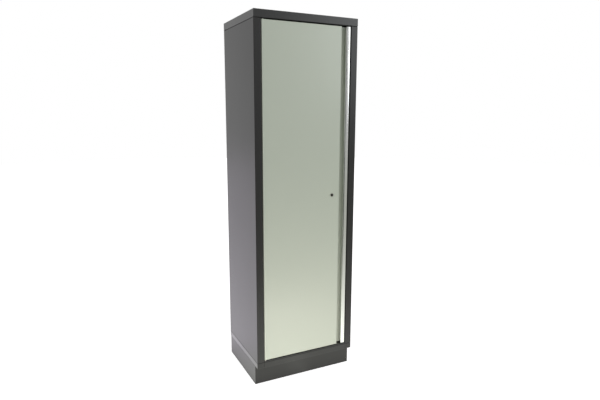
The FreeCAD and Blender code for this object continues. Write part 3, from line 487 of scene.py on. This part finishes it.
MATERIALS = {
    "body_paint": charcoal("charcoal powder coat"),
    "door_paint": coated_steel("sage powder coat", colour=srgb(184, 192, 176), worn=srgb(205, 210, 198),
                               roughness=0.34, peel=520.0, speckle=0.03, drift=0.03, wear=0.25, dust=0.10,
                               strength=0.10, lacquer=1.0),
    "pull_aluminium": bare_metal("satin anodised pull", colour=srgb(250, 251, 248), roughness=0.22,
                                 stretch=(1400.0, 1400.0, 5.0), contrast=0.10, wear=0.10, strength=0.10,
                                 anisotropic=0.3, bow=(LIP_MIDDLE, LIP_BOW_RADIUS)),
    "zinc_steel": bare_metal("bright zinc plate", colour=srgb(178, 181, 184), roughness=0.34,
                             stretch=(300.0, 300.0, 20.0), contrast=0.16, wear=0.3, strength=0.12),
    "lock_chrome": bare_metal("satin nickel", colour=srgb(184, 184, 176), roughness=0.30,
                              stretch=EVEN_GRIND, contrast=0.06, wear=0.2, strength=0.05),
    "black_plastic": moulded("black nylon", colour=srgb(28, 28, 29), roughness=0.48, grain=1600.0,
                             strength=0.15),
    "white_nylon": moulded("natural nylon", colour=srgb(214, 210, 198), roughness=0.40, grain=1200.0,
                           strength=0.08),
    "ferrite": moulded("ground ferrite", colour=srgb(52, 52, 55), roughness=0.60, grain=900.0,
                       strength=0.25, specular=0.3),
    "buffer_rubber": moulded("buffer rubber", colour=srgb(24, 24, 24), roughness=0.80, grain=1300.0,
                             strength=0.20, specular=0.25),
}

# The cap, the tray and the sill carry the carcass's coat under some clear lacquer, and the lock's plug is
# burnished dark inside its rim.
OWN_FINISH = {
    "top_cap": charcoal("lacquered cap", lacquer=0.3),
    "bottom_tray": charcoal("lacquered tray", lacquer=0.55),
    "sill_rail": charcoal("lacquered sill", lacquer=0.12),
    "lock_plug": bare_metal("burnished plug", colour=srgb(64, 64, 58), roughness=0.38,
                            stretch=EVEN_GRIND, contrast=0.10, wear=0.15, strength=0.05),
}


def dress(part):
    """One finish over a whole piece."""
    materials = frame["nodes"][part["node"]].data.materials
    materials.clear()
    materials.append(OWN_FINISH.get(part["node"], MATERIALS[part["material_slot"]]))


for part in frame["record"]["subparts"]:
    dress(part)


def coat_pull_channel():
    """The pull's channel is coated with the door; its lip and outer wall stay bright."""
    pull = frame["nodes"]["handle_profile"]
    low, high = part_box("handle_profile")
    pull.data.materials.append(MATERIALS["door_paint"])
    for face in pull.data.polygons:
        lip = face.center.x > high.x - LIP_WIDTH and face.center.y < low.y + LIP_DEPTH
        outer = face.center.x > high.x - 2 * PULL_WALL
        face.material_index = 0 if lip or outer else 1


coat_pull_channel()


# ---- small fasteners --------------------------------------------------------------------------------

TURN_SEED = 7


def fastener_pattern():
    """Rows and columns of one head, each turned about its own axis by chance."""
    group = bpy.data.node_groups.new("fastener pattern", "GeometryNodeTree")
    for socket, kind in (("Geometry", "NodeSocketGeometry"), ("Head", "NodeSocketObject"),
                         ("Rows", "NodeSocketInt"), ("Row Step", "NodeSocketVector"),
                         ("Columns", "NodeSocketInt"), ("Column Step", "NodeSocketVector"),
                         ("First", "NodeSocketVector"), ("Facing", "NodeSocketVector"),
                         ("Finish", "NodeSocketMaterial")):
        group.interface.new_socket(name=socket, in_out="INPUT", socket_type=kind)
    group.interface.new_socket(name="Geometry", in_out="OUTPUT", socket_type="NodeSocketGeometry")
    tree = Tree(group)
    given = tree.add("NodeGroupInput").outputs

    def line(count, start, step):
        node = tree.add("GeometryNodeMeshLine", mode="OFFSET")
        tree.feed(node.inputs["Count"], count)
        tree.feed(node.inputs["Start Location"], start)
        tree.feed(node.inputs["Offset"], step)
        return node.outputs["Mesh"]

    def repeated(points, instance, rotation=None):
        node = tree.add("GeometryNodeInstanceOnPoints")
        tree.feed(node.inputs["Points"], points)
        tree.feed(node.inputs["Instance"], instance)
        tree.feed(node.inputs["Rotation"], rotation)
        return node.outputs["Instances"]

    def realized(instances):
        node = tree.add("GeometryNodeRealizeInstances")
        tree.feed(node.inputs["Geometry"], instances)
        return node.outputs["Geometry"]

    places = realized(repeated(line(given["Rows"], given["First"], given["Row Step"]),
                               line(given["Columns"], None, given["Column Step"])))
    head = tree.add("GeometryNodeObjectInfo", transform_space="ORIGINAL")
    tree.feed(head.inputs["Object"], given["Head"])
    chance = tree.add("FunctionNodeRandomValue", data_type="FLOAT_VECTOR")
    chance.inputs["Max"].default_value = (0.0, 0.0, 2 * math.pi)
    chance.inputs["Seed"].default_value = TURN_SEED
    rolled = tree.add("GeometryNodeRotateInstances")
    tree.feed(rolled.inputs["Instances"], repeated(places, head.outputs["Geometry"], given["Facing"]))
    tree.feed(rolled.inputs["Rotation"], chance.outputs["Value"])
    finished = tree.add("GeometryNodeSetMaterial")
    tree.feed(finished.inputs["Geometry"], realized(rolled.outputs["Instances"]))
    tree.feed(finished.inputs["Material"], given["Finish"])
    tree.join(finished.outputs["Geometry"], tree.add("NodeGroupOutput").inputs["Geometry"])
    return group


def turned_head(name, rings, sides=24, lobes=4):
    """A head spun from (radius, height, wave) rings in mm, from the seat over the top to the axis.

    The wave draws a ring in and out round the axis, for a driver's recess.
    """
    shape = bmesh.new()
    loops = []
    for radius, height, wave in rings:
        if radius == 0:
            loops.append([shape.verts.new((0, 0, height * MM))])
            continue
        loop = []
        for i in range(sides):
            angle = 2 * math.pi * i / sides
            reach = radius * MM * (1 + wave * math.cos(lobes * angle))
            loop.append(shape.verts.new((reach * math.cos(angle), reach * math.sin(angle), height * MM)))
        loops.append(loop)
    for first, second in zip(loops, loops[1:]):
        for i in range(sides):
            corners = [first[i % len(first)], first[(i + 1) % len(first)],
                       second[(i + 1) % len(second)], second[i % len(second)]]
            shape.faces.new(list(dict.fromkeys(corners)))
    bmesh.ops.recalc_face_normals(shape, faces=shape.faces)
    mesh = bpy.data.meshes.new(name)
    shape.to_mesh(mesh)
    shape.free()
    return bpy.data.objects.new(name, mesh)


PAN_HEAD = turned_head("pan head", [
    (0, 0, 0), (3.0, 0, 0), (3.0, 0.5, 0), (2.75, 1.15, 0), (2.2, 1.6, 0), (1.5, 1.85, 0),
    (1.25, 1.85, 0.35), (1.0, 0.9, 0.35), (0, 0.7, 0)])
RIVET_HEAD = turned_head("rivet head", [
    (0, 0, 0), (3.4, 0, 0), (3.3, 0.35, 0), (2.7, 0.8, 0), (1.7, 1.05, 0), (1.15, 1.1, 0), (1.0, 0.6, 0),
    (0, 0.5, 0)])
OVAL_HEAD = turned_head("oval countersunk head", [
    (0, 0, 0), (3.6, 0, 0), (3.4, 0.16, 0), (2.4, 0.34, 0), (1.35, 0.40, 0), (1.2, 0.38, 0.35),
    (0.9, 0.06, 0.35), (0, 0.05, 0)])
FLUSH_HEAD = turned_head("flush rivet", [
    (0, 0, 0), (2.3, 0, 0), (2.2, 0.1, 0), (0.9, 0.12, 0), (0, 0.06, 0)])
FASTENERS = fastener_pattern()

TOWARDS = {"-X": (0, -math.pi / 2, 0), "+Y": (-math.pi / 2, 0, 0), "-Z": (math.pi, 0, 0), "+Z": (0, 0, 0)}


def fasteners(name, body, slot, head, facing, first, rows, row_step, columns=1, column_step=(0, 0, 0)):
    """One mesh of fastener heads that moves with a body."""
    piece = bpy.data.objects.new(name, bpy.data.meshes.new(name))
    bpy.context.scene.collection.objects.link(piece)
    pattern = piece.modifiers.new("pattern", "NODES")
    pattern.node_group = FASTENERS
    wanted = {"Head": head, "First": first, "Facing": TOWARDS[facing], "Rows": rows, "Row Step": row_step,
              "Columns": columns, "Column Step": column_step, "Finish": MATERIALS[slot]}
    for socket in FASTENERS.interface.items_tree:
        if socket.name in wanted:
            pattern[socket.identifier] = wanted[socket.name]
    made = bpy.data.meshes.new_from_object(piece.evaluated_get(bpy.context.evaluated_depsgraph_get()))
    piece.modifiers.remove(pattern)
    piece.data = made
    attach(piece, body)


def pull_rivets():
    """Rivets that hold the pull to the door skin's folded edge."""
    skin_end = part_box("door_skin")[1]
    pull, pull_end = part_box("handle_profile")
    first = (skin_end.x - SHEET, (pull.y + pull_end.y) / 2, pull.z + PULL_RIVET_MARGIN)
    step = (pull_end.z - pull.z - 2 * PULL_RIVET_MARGIN) / (PULL_RIVETS - 1)
    fasteners("pull_rivets", "door", "zinc_steel", RIVET_HEAD, "-X", first, PULL_RIVETS, (0, 0, step))


def strike_rivets():
    """Two rivets in each of the two strike plates."""
    plate, plate_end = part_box("strike_plates")
    first = ((plate.x + plate_end.x) / 2, plate_end.y, plate.z + STRIKE_MIDDLE - STRIKE_RIVET_SPREAD / 2)
    between_plates = (0, 0, plate_end.z - plate.z - 2 * STRIKE_MIDDLE)
    fasteners("strike_rivets", "door", "zinc_steel", FLUSH_HEAD, "+Y", first, 2, between_plates,
              2, (0, 0, STRIKE_RIVET_SPREAD))


def catch_screws():
    """Two screws through the ear of each of the two catches."""
    catch, catch_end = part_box("catch_housings")
    lowest = catch.z + CATCH_MIDDLE - CATCH_SCREW_SPREAD / 2
    first = (catch_end.x - EAR_SCREW_INSET, catch.y + EAR_BACK, lowest)
    between_catches = (0, 0, catch_end.z - catch.z - 2 * CATCH_MIDDLE)
    fasteners("catch_screws", "cabinet", "zinc_steel", PAN_HEAD, "+Y", first, 2, between_catches,
              2, (0, 0, CATCH_SCREW_SPREAD))


def bracket_screws():
    """Two screws in each hinge bracket, seen from inside the opening."""
    for end, facing in (("upper", "-Z"), ("lower", "+Z")):
        bracket, bracket_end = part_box(f"{end}_hinge_bracket")
        face = bracket.z if end == "upper" else bracket_end.z
        first = (bracket_end.x - BRACKET_SCREW_INSET, bracket_end.y - 2 * BRACKET_SCREW_INSET, face)
        fasteners(f"{end}_bracket_screws", "cabinet", "zinc_steel", OVAL_HEAD, facing, first,
                  1, (0, 0, 0), 2, (*BRACKET_SCREW_STEP, 0))


pull_rivets()
strike_rivets()
catch_screws()
bracket_screws()


# ---- studio -----------------------------------------------------------------------------------------

def light_paths(tree):
    """1 for what the camera sees, and 1 for what a gloss shows."""
    path = tree.add("ShaderNodeLightPath")
    seen = tree.math("MAXIMUM", path.outputs["Is Camera Ray"], path.outputs["Is Transmission Ray"])
    return seen, path.outputs["Is Glossy Ray"]


# Directions in which a gloss sees the room change: a share of a unit vector's X, Y or Z.
FRONT_TO_BACK = (-0.7, 0.7)     # along Y
WALL_FOOT = (0.0, 0.15)         # along Z
WALL_TOP = (0.12, 0.24)
DARK_AHEAD = (-0.8, -0.5)       # along Y, straight in front of the locker, where the room is dark
DARK_ASIDE = (0.0, 0.25)        # along X, where that dark part ends
FOOT_GLOSS = 1.09
WALL_GLOSS = 0.98
DARK_GLOSS = 0.10


def studio_world(ambient, gloss_front, gloss_high, gloss_back):
    """White to the camera, one plain level on matt surfaces, and a room of several levels in a gloss."""
    world = bpy.data.worlds.new("studio")
    world.use_nodes = True
    bpy.context.scene.world = world
    tree = Tree(world.node_tree)
    sky = next(node for node in world.node_tree.nodes if node.type == "BACKGROUND")
    seen, glossy = light_paths(tree)
    across, along, up = tree.apart(tree.add("ShaderNodeTexCoord").outputs["Generated"])
    front = tree.ranged(up, *WALL_TOP, gloss_front, gloss_high)
    shown = tree.ranged(along, *FRONT_TO_BACK, front, gloss_back)
    shown = tree.times(shown, tree.ranged(up, *WALL_FOOT, FOOT_GLOSS, WALL_GLOSS))
    dark = tree.times(tree.ranged(along, *DARK_AHEAD, 1.0, 0.0), tree.ranged(across, *DARK_ASIDE, 1.0, 0.0))
    shown = tree.times(shown, tree.ranged(dark, 0.0, 1.0, 1.0, DARK_GLOSS))
    lit = tree.plus(tree.times(tree.less(1.0, glossy), ambient), tree.times(glossy, shown))
    level = tree.plus(tree.times(tree.less(1.0, seen), lit), seen)
    sky.inputs["Color"].default_value = (1, 1, 1, 1)
    tree.join(level, sky.inputs["Strength"])


# How a gloss sees the floor: its level far away, what the near floor adds, and the reach of that in metres.
FRONT_FAR = 0.38
FRONT_NEAR = 1.20
FRONT_REACH = 1.0
BACK_FAR = 1.12
BACK_NEAR = 0.50
BACK_REACH = 3.2
SHADE_NEAR = -0.35              # the locker's own shade along its foot
SHADE_REACH = 0.08
DARK_FAR = 0.04                 # level far away straight in front
PULL_NEAR = 2.3                 # what the near floor adds before the pull
FRONT_TINT = (1.0, 1.02, 0.94, 1.0)
BACK_TINT = (1.0, 0.96, 1.03, 1.0)
ROUND_THE_SIDES = (-0.3, 0.3)   # along Y, from the front floor to the back floor
DARK_SECTOR = (0.05, 0.28)      # metres aside for each metre ahead
DARK_START = (0.5, 2.0)         # metres from the locker
BEFORE_PULL = (-0.10, 0.15)     # along X


def floor_sheen(tree):
    """How a gloss shows the floor: bright near the locker, dark far ahead, brighter and cooler behind."""
    across, along, _ = tree.apart(tree.add("ShaderNodeNewGeometry").outputs["Position"])
    beside = tree.math("MAXIMUM", tree.less(tree.math("ABSOLUTE", across), cad_box[1].x), 0.0)
    beyond = tree.math("MAXIMUM", tree.less(tree.math("ABSOLUTE", along), cad_box[1].y), 0.0)
    away = tree.distance(beside, beyond)

    def fading(far, near, reach):
        faded = tree.math("EXPONENT", tree.over(away, -reach))
        return tree.math("MULTIPLY_ADD", faded, near, far)

    behind = tree.ranged(along, *ROUND_THE_SIDES, 0.0, 1.0)
    ahead = tree.ranged(tree.over(across, tree.less(0.0, along)), *DARK_SECTOR, 1.0, 0.0)
    unlit = tree.times(ahead, tree.ranged(away, *DARK_START, 0.0, 1.0))
    before_pull = tree.times(ahead, tree.ranged(across, *BEFORE_PULL, 0.0, 1.0))
    far = tree.ranged(unlit, 0.0, 1.0, FRONT_FAR, DARK_FAR)
    near = tree.ranged(before_pull, 0.0, 1.0, FRONT_NEAR, PULL_NEAR)
    front = tree.times(tree.less(1.0, behind), fading(far, near, FRONT_REACH))
    back = tree.times(behind, fading(BACK_FAR, BACK_NEAR, BACK_REACH))
    level = tree.times(tree.plus(front, back), fading(1.0, SHADE_NEAR, SHADE_REACH))
    return level, tree.mix(behind, FRONT_TINT, BACK_TINT)


FLOOR_RADIUS = 14.0
FLOOR_DROP = 0.6 * MM           # below the plinth, so that no two faces lie in one plane
FLOOR_COLOUR = (0.86, 0.86, 0.86, 1)


def studio_floor(glow):
    """A matt pale floor that the camera sees near white, and a gloss sees as floor_sheen says."""
    bpy.ops.mesh.primitive_circle_add(vertices=96, radius=FLOOR_RADIUS, fill_type="NGON",
                                      location=(0, 0, -FLOOR_DROP))
    floor = bpy.context.object
    floor.name = "studio_floor"
    material = bpy.data.materials.new("studio floor")
    material.use_nodes = True
    tree = Tree(material.node_tree)
    material.node_tree.nodes.clear()
    seen, glossy = light_paths(tree)
    matt = tree.add("ShaderNodeBsdfDiffuse")
    matt.inputs["Color"].default_value = FLOOR_COLOUR
    white = tree.add("ShaderNodeEmission")
    white.inputs["Strength"].default_value = glow
    lit = tree.add("ShaderNodeAddShader")
    tree.join(matt.outputs[0], lit.inputs[0])
    tree.join(white.outputs[0], lit.inputs[1])
    viewed = tree.add("ShaderNodeMixShader")
    tree.join(seen, viewed.inputs[0])
    tree.join(matt.outputs[0], viewed.inputs[1])
    tree.join(lit.outputs[0], viewed.inputs[2])
    sheen = tree.add("ShaderNodeEmission")
    level, tint = floor_sheen(tree)
    tree.join(tint, sheen.inputs["Color"])
    tree.join(level, sheen.inputs["Strength"])
    shown = tree.add("ShaderNodeMixShader")
    tree.join(glossy, shown.inputs[0])
    tree.join(viewed.outputs[0], shown.inputs[1])
    tree.join(sheen.outputs[0], shown.inputs[2])
    tree.join(shown.outputs[0], tree.add("ShaderNodeOutputMaterial").inputs["Surface"])
    floor.data.materials.append(material)


def softbox(name, place, aim, size, power, tint, in_gloss=True):
    """A flat lamp at a place, turned to its aim."""
    light = bpy.data.lights.new(name, "AREA")
    light.color = tint
    light.shape = "RECTANGLE"
    light.size, light.size_y = size
    light.energy = power
    lamp = bpy.data.objects.new(name, light)
    lamp.location = place
    lamp.rotation_euler = (Vector(aim) - Vector(place)).to_track_quat("-Z", "Y").to_euler()
    lamp.visible_glossy = in_gloss
    bpy.context.scene.collection.objects.link(lamp)


SENSOR_WIDTH = 36.0             # mm
FRAME_WIDTH = 600               # pixels, and the focal length in the same pixels
FOCAL_LENGTH = 486.9


def studio_camera(place, yaw, pitch, roll):
    """A camera from its place, its turn from +Y to +X, its tilt down and its roll."""
    camera = bpy.data.cameras.new("camera")
    camera.sensor_width = SENSOR_WIDTH
    camera.lens = SENSOR_WIDTH * FOCAL_LENGTH / FRAME_WIDTH
    yaw, pitch, roll = (math.radians(angle) for angle in (yaw, pitch, roll))
    ahead = Vector((math.sin(yaw) * math.cos(pitch), math.cos(yaw) * math.cos(pitch), -math.sin(pitch)))
    level = Vector((math.cos(yaw), -math.sin(yaw), 0))
    upward = level.cross(ahead)
    right = level * math.cos(roll) + upward * math.sin(roll)
    top = upward * math.cos(roll) - level * math.sin(roll)
    holder = bpy.data.objects.new("camera", camera)
    holder.matrix_world = Matrix.Translation(place) @ Matrix((right, top, -ahead)).transposed().to_4x4()
    bpy.context.scene.collection.objects.link(holder)
    bpy.context.scene.camera = holder


bpy.context.scene.view_settings.view_transform = "Standard"
studio_world(ambient=0.63, gloss_front=0.37, gloss_high=0.63, gloss_back=0.75)
studio_floor(glow=0.75)
softbox("right softbox", place=(3.05, -3.4, 2.9), aim=(0, 0, 1.2), size=(2.15, 2.6), power=36.5,
        tint=(0.96, 1.0, 1.02))
softbox("low front panel", place=(-0.2, -1.05, 0.06), aim=(-0.2, 0, 0.10), size=(1.4, 0.10), power=5.2,
        tint=(1.0, 0.90, 0.88), in_gloss=False)
studio_camera(place=(-1.189, -2.562, 1.4965), yaw=26.21, pitch=10.05, roll=0.21)
